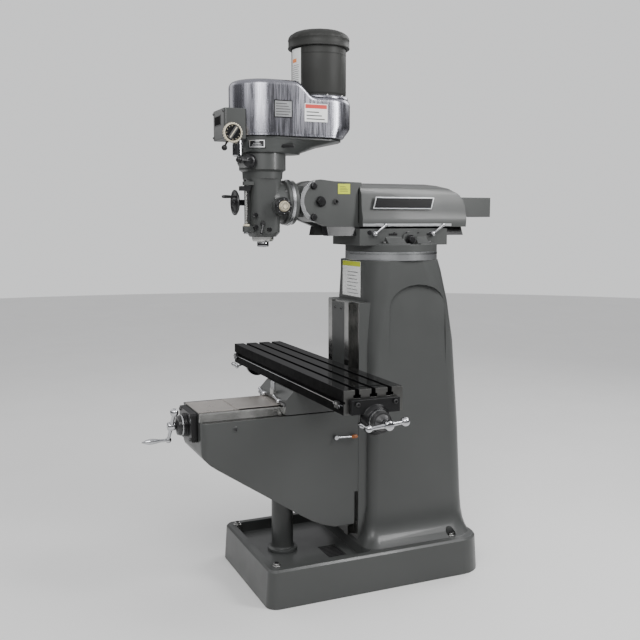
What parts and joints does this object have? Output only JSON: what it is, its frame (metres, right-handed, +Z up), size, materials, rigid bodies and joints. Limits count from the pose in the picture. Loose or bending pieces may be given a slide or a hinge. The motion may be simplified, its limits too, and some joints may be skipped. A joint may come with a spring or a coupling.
{
  "type": "turret milling machine",
  "caption": "Floor-standing turret milling machine: swivelling overarm with tilting belt-driven head and sliding quill, over a screw-fed T-slot table on a saddle and lifting knee.",
  "frame": {"origin": "on the floor, under the turret's swivel axis", "axes": "+Z up; -Y towards the operator, along the ram to the head; +X to the operator's right, along the table"},
  "size_m": [1.537, 1.524, 2.2253],
  "materials": {
    "enamel": "glossy grey machine enamel",
    "dark_enamel": "satin dark grey enamel",
    "black": "black oxide and black enamel",
    "steel": "turned steel",
    "chrome": "polished chrome",
    "aluminium": "polished and satin aluminium",
    "ground_iron": "ground cast iron",
    "rubber": "black belt rubber"
  },
  "bodies": {
    "column": {"column_base": "enamel", "levelling_bolt_front_left": "steel", "levelling_bolt_front_right": "steel", "levelling_bolt_rear_left": "steel", "levelling_bolt_rear_right": "steel", "column_way_cover": "enamel", "screw_pedestal": "enamel", "turret_ring": "aluminium"},
    "turret": {"turret": "enamel"},
    "ram_lock_front": {"ram_lock_lever_front": "chrome"},
    "ram_lock_rear": {"ram_lock_lever_rear": "chrome"},
    "ram_pinion": {"ram_pinion_hub": "black"},
    "ram": {"ram": "enamel", "ram_rear_bracket": "enamel", "knuckle_pivot_bolt": "black", "knuckle_lock_bolt_upper": "black", "knuckle_lock_bolt_lower": "black"},
    "adapter": {"ram_adapter": "enamel", "tilt_ring": "aluminium"},
    "head": {"head_casting": "enamel", "gear_housing": "dark_enamel", "belt_housing": "aluminium", "motor": "dark_enamel", "motor_cap": "dark_enamel", "speed_box": "enamel", "shift_plunger": "chrome", "quill_stop_rod": "chrome", "drive_belt": "rubber"},
    "quill": {"quill": "steel", "quill_stop_block": "black"},
    "spindle": {"spindle": "steel", "spindle_nose": "steel", "drawbar": "steel"},
    "spindle_pulley": {"spindle_pulley": "ground_iron"},
    "motor_pulley": {"motor_pulley": "ground_iron"},
    "feed_hub": {"quill_feed_hub": "black"},
    "feed_wheel": {"feed_handwheel": "black"},
    "dial": {"speed_dial": "black"},
    "high_low": {"high_low_lever": "black"},
    "brake": {"brake_lever": "black"},
    "quill_lock": {"quill_lock_lever": "black"},
    "knee": {"knee": "enamel", "cross_bracket": "black", "way_cover_front": "steel"},
    "lift_screw": {"elevating_screw": "steel"},
    "lift_crank": {"elevating_crank": "chrome"},
    "knee_lock": {"knee_lock_lever": "chrome"},
    "cross_feed": {"cross_screw": "black", "cross_crank": "chrome"},
    "cover": {"way_cover_middle": "steel"},
    "saddle": {"saddle": "enamel", "way_cover_rear": "steel"},
    "saddle_lock_left": {"saddle_lock_lever_left": "chrome"},
    "saddle_lock_right": {"saddle_lock_lever_right": "chrome"},
    "table": {"table": "ground_iron", "table_bracket_left": "black", "table_bracket_right": "black"},
    "table_feed": {"table_screw": "black", "table_crank_left": "chrome", "table_crank_right": "chrome"}
  },
  "joints": [
    {"name": "turret_swivel", "type": "hinge", "parent": "column", "child": "turret", "pos_m": [0, 0, 1.35], "axis": [0, 0, 1], "range_deg": [-180, 180]},
    {"name": "ram_lock_front_turn", "type": "hinge", "parent": "turret", "child": "ram_lock_front", "pos_m": [0.141, -0.148, 1.422], "axis": [1, 0, 0], "range_deg": [-30, 60]},
    {"name": "ram_lock_rear_turn", "type": "hinge", "parent": "turret", "child": "ram_lock_rear", "pos_m": [0.141, 0.121, 1.422], "axis": [1, 0, 0], "range_deg": [-30, 60]},
    {"name": "ram_slide", "type": "slide", "parent": "turret", "child": "ram", "axis": [0, -1, 0], "range_m": [-0.183, 0.122]},
    {"name": "ram_pinion_turn", "type": "hinge", "parent": "turret", "child": "ram_pinion", "pos_m": [0.14, 0.014, 1.399], "axis": [1, 0, 0], "continuous": true},
    {"name": "head_nod", "type": "hinge", "parent": "ram", "child": "adapter", "pos_m": [0, -0.36, 1.551], "axis": [1, 0, 0], "range_deg": [-40, 35]},
    {"name": "head_tilt", "type": "hinge", "parent": "adapter", "child": "head", "pos_m": [0, -0.466, 1.547], "axis": [0, 1, 0], "range_deg": [-90, 90]},
    {"name": "quill_travel", "type": "slide", "parent": "head", "child": "quill", "axis": [0, 0, 1], "range_m": [-0.127, 0]},
    {"name": "spindle_spin", "type": "hinge", "parent": "quill", "child": "spindle", "pos_m": [0, -0.576, 1.372], "axis": [0, 0, 1], "continuous": true},
    {"name": "spindle_pulley_spin", "type": "hinge", "parent": "head", "child": "spindle_pulley", "pos_m": [0, -0.576, 1.87], "axis": [0, 0, 1], "continuous": true},
    {"name": "motor_pulley_spin", "type": "hinge", "parent": "head", "child": "motor_pulley", "pos_m": [0, -0.334, 1.87], "axis": [0, 0, 1], "continuous": true},
    {"name": "quill_feed_turn", "type": "hinge", "parent": "head", "child": "feed_hub", "pos_m": [0.0903, -0.525, 1.531], "axis": [1, 0, 0], "continuous": true},
    {"name": "feed_wheel_turn", "type": "hinge", "parent": "head", "child": "feed_wheel", "pos_m": [-0.022, -0.69, 1.546], "axis": [0, 1, 0], "continuous": true},
    {"name": "speed_dial_turn", "type": "hinge", "parent": "head", "child": "dial", "pos_m": [0.09, -0.728, 1.803], "axis": [1, 0, 0], "range_deg": [-150, 150]},
    {"name": "high_low_shift", "type": "hinge", "parent": "head", "child": "high_low", "pos_m": [0.084, -0.658, 1.701], "axis": [1, 0, 0], "range_deg": [-30, 30]},
    {"name": "brake_swing", "type": "hinge", "parent": "head", "child": "brake", "pos_m": [0.072, -0.741, 1.774], "axis": [0, 0, 1], "range_deg": [-20, 20]},
    {"name": "quill_lock_turn", "type": "hinge", "parent": "head", "child": "quill_lock", "pos_m": [0.0625, -0.6, 1.466], "axis": [1, 0, 0], "range_deg": [0, 90]},
    {"name": "knee_lift", "type": "slide", "parent": "column", "child": "knee", "axis": [0, 0, 1], "range_m": [0, 0.406]},
    {"name": "lift_screw_turn", "type": "hinge", "parent": "knee", "child": "lift_screw", "pos_m": [0, -0.5, 0.5604], "axis": [0, 0, 1], "continuous": true},
    {"name": "lift_crank_turn", "type": "hinge", "parent": "knee", "child": "lift_crank", "pos_m": [-0.15, -0.5, 0.605], "axis": [1, 0, 0], "continuous": true},
    {"name": "knee_lock_turn", "type": "hinge", "parent": "knee", "child": "knee_lock", "pos_m": [0.15, -0.327, 0.607], "axis": [1, 0, 0], "range_deg": [-40, 40]},
    {"name": "saddle_slide", "type": "slide", "parent": "knee", "child": "saddle", "axis": [0, -1, 0], "range_m": [-0.015, 0.29]},
    {"name": "cross_feed_turn", "type": "hinge", "parent": "knee", "child": "cross_feed", "pos_m": [0, -0.93, 0.68], "axis": [0, 1, 0], "continuous": true},
    {"name": "cover_slide", "type": "slide", "parent": "knee", "child": "cover", "axis": [0, -1, 0], "range_m": [-0.0075, 0.145]},
    {"name": "saddle_lock_left_turn", "type": "hinge", "parent": "saddle", "child": "saddle_lock_left", "pos_m": [-0.082, -0.541, 0.7625], "axis": [0, -1, 0], "range_deg": [-70, 8]},
    {"name": "saddle_lock_right_turn", "type": "hinge", "parent": "saddle", "child": "saddle_lock_right", "pos_m": [0.088, -0.541, 0.7625], "axis": [0, -1, 0], "range_deg": [-70, 8]},
    {"name": "table_slide", "type": "slide", "parent": "saddle", "child": "table", "axis": [1, 0, 0], "range_m": [-0.455, 0.455]},
    {"name": "table_feed_turn", "type": "hinge", "parent": "table", "child": "table_feed", "pos_m": [0, -0.39, 0.79], "axis": [1, 0, 0], "continuous": true}
  ],
  "couplings": [
    {"joint": "ram_pinion_turn", "follows": "ram_slide", "rad_per_m": 55.6},
    {"joint": "quill_feed_turn", "follows": "quill_travel", "rad_per_m": 50},
    {"joint": "spindle_pulley_spin", "follows": "spindle_spin", "ratio": 1},
    {"joint": "motor_pulley_spin", "follows": "spindle_spin", "ratio": 1.25},
    {"joint": "lift_screw_turn", "follows": "knee_lift", "rad_per_m": 1236.8},
    {"joint": "lift_crank_turn", "follows": "knee_lift", "rad_per_m": 2473.6},
    {"joint": "cross_feed_turn", "follows": "saddle_slide", "rad_per_m": -1236.8},
    {"joint": "cover_slide", "follows": "saddle_slide", "ratio": 0.5},
    {"joint": "table_feed_turn", "follows": "table_slide", "rad_per_m": 1236.8}
  ]
}
